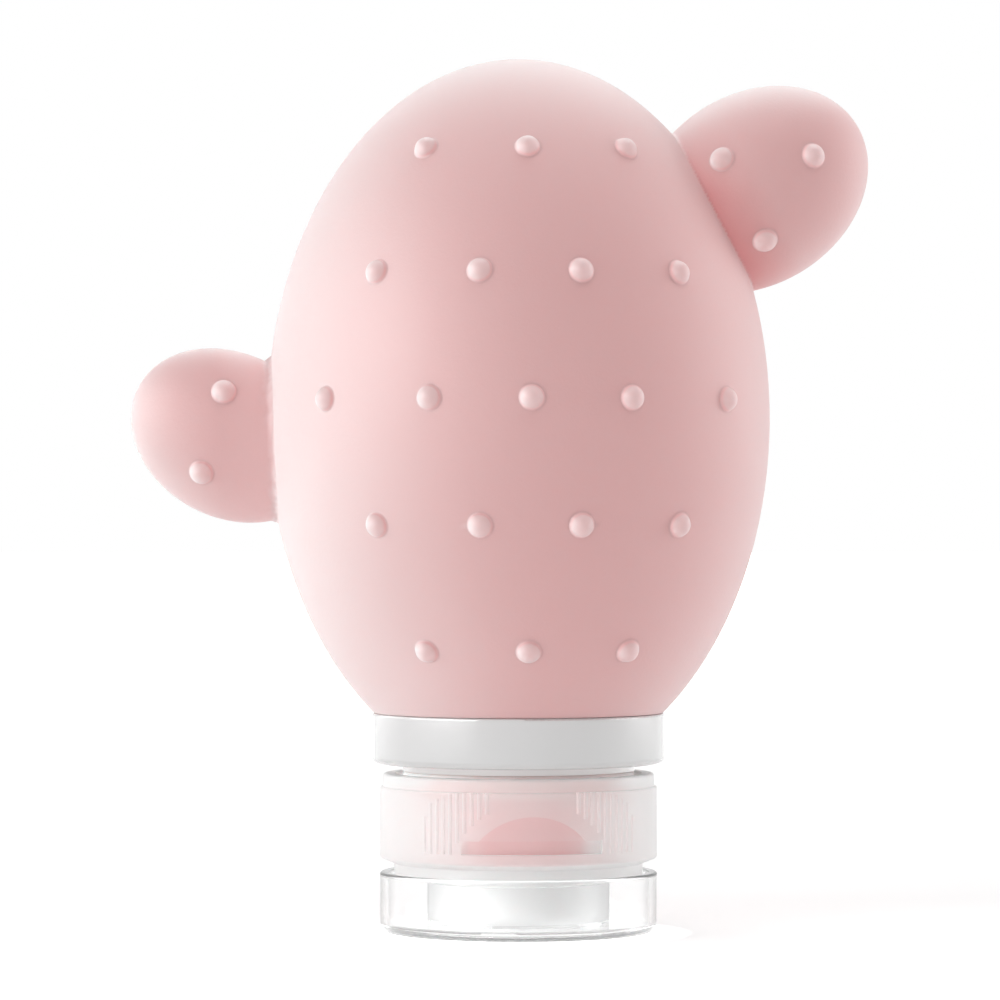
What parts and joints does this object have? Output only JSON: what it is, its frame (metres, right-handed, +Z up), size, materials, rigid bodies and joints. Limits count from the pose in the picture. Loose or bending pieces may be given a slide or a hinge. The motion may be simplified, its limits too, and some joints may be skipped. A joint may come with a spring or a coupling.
{
  "type": "travel silicone bottle",
  "caption": "Soft egg-shaped squeeze bottle with side arms and round nubs, standing on a screw cap with a clear flip lid, for carrying liquids on a journey",
  "frame": {"origin": "middle of the lid's flat outside face, which the bottle stands on", "axes": "+Z runs up the bottle, -Y is the side with the thumb recess, +X is the side with the larger, higher arm"},
  "size_m": [0.0826, 0.0586, 0.0975],
  "materials": {
    "pink_silicone": "soft matte silicone",
    "natural_plastic": "unpainted, slightly milky",
    "white_plastic": "glossy white",
    "clear_silicone": "cloudy, soft",
    "frosted_plastic": "frosted, lets light through",
    "clear_plastic": "clear and glossy"
  },
  "bodies": {
    "bottle": {"silicone_bottle": "pink_silicone", "neck_insert": "natural_plastic", "collar_ring": "white_plastic"},
    "cap_seal": {"sealing_gasket": "clear_silicone"},
    "cap": {"cap_base": "frosted_plastic", "drip_valve": "clear_silicone", "valve_retainer": "natural_plastic"},
    "lid": {"flip_lid": "clear_plastic"}
  },
  "joints": [
    {"name": "cap_lift", "type": "slide", "parent": "bottle", "child": "cap_seal", "axis": [0, 0, -1], "range_m": [0, 0.00375]},
    {"name": "cap_turn", "type": "hinge", "parent": "cap_seal", "child": "cap", "pos_m": [0, 0, 0.013], "axis": [0, 0, -1], "range_deg": [0, 450]},
    {"name": "lid_flip", "type": "hinge", "parent": "cap", "child": "lid", "pos_m": [-0.00093, 0.01667, 0.0072], "axis": [0.9984, 0.0558, 0], "range_deg": [0, 135]}
  ],
  "couplings": [
    {"joint": "cap_lift", "follows": "cap_turn", "m_per_rad": 0.00047746}
  ]
}
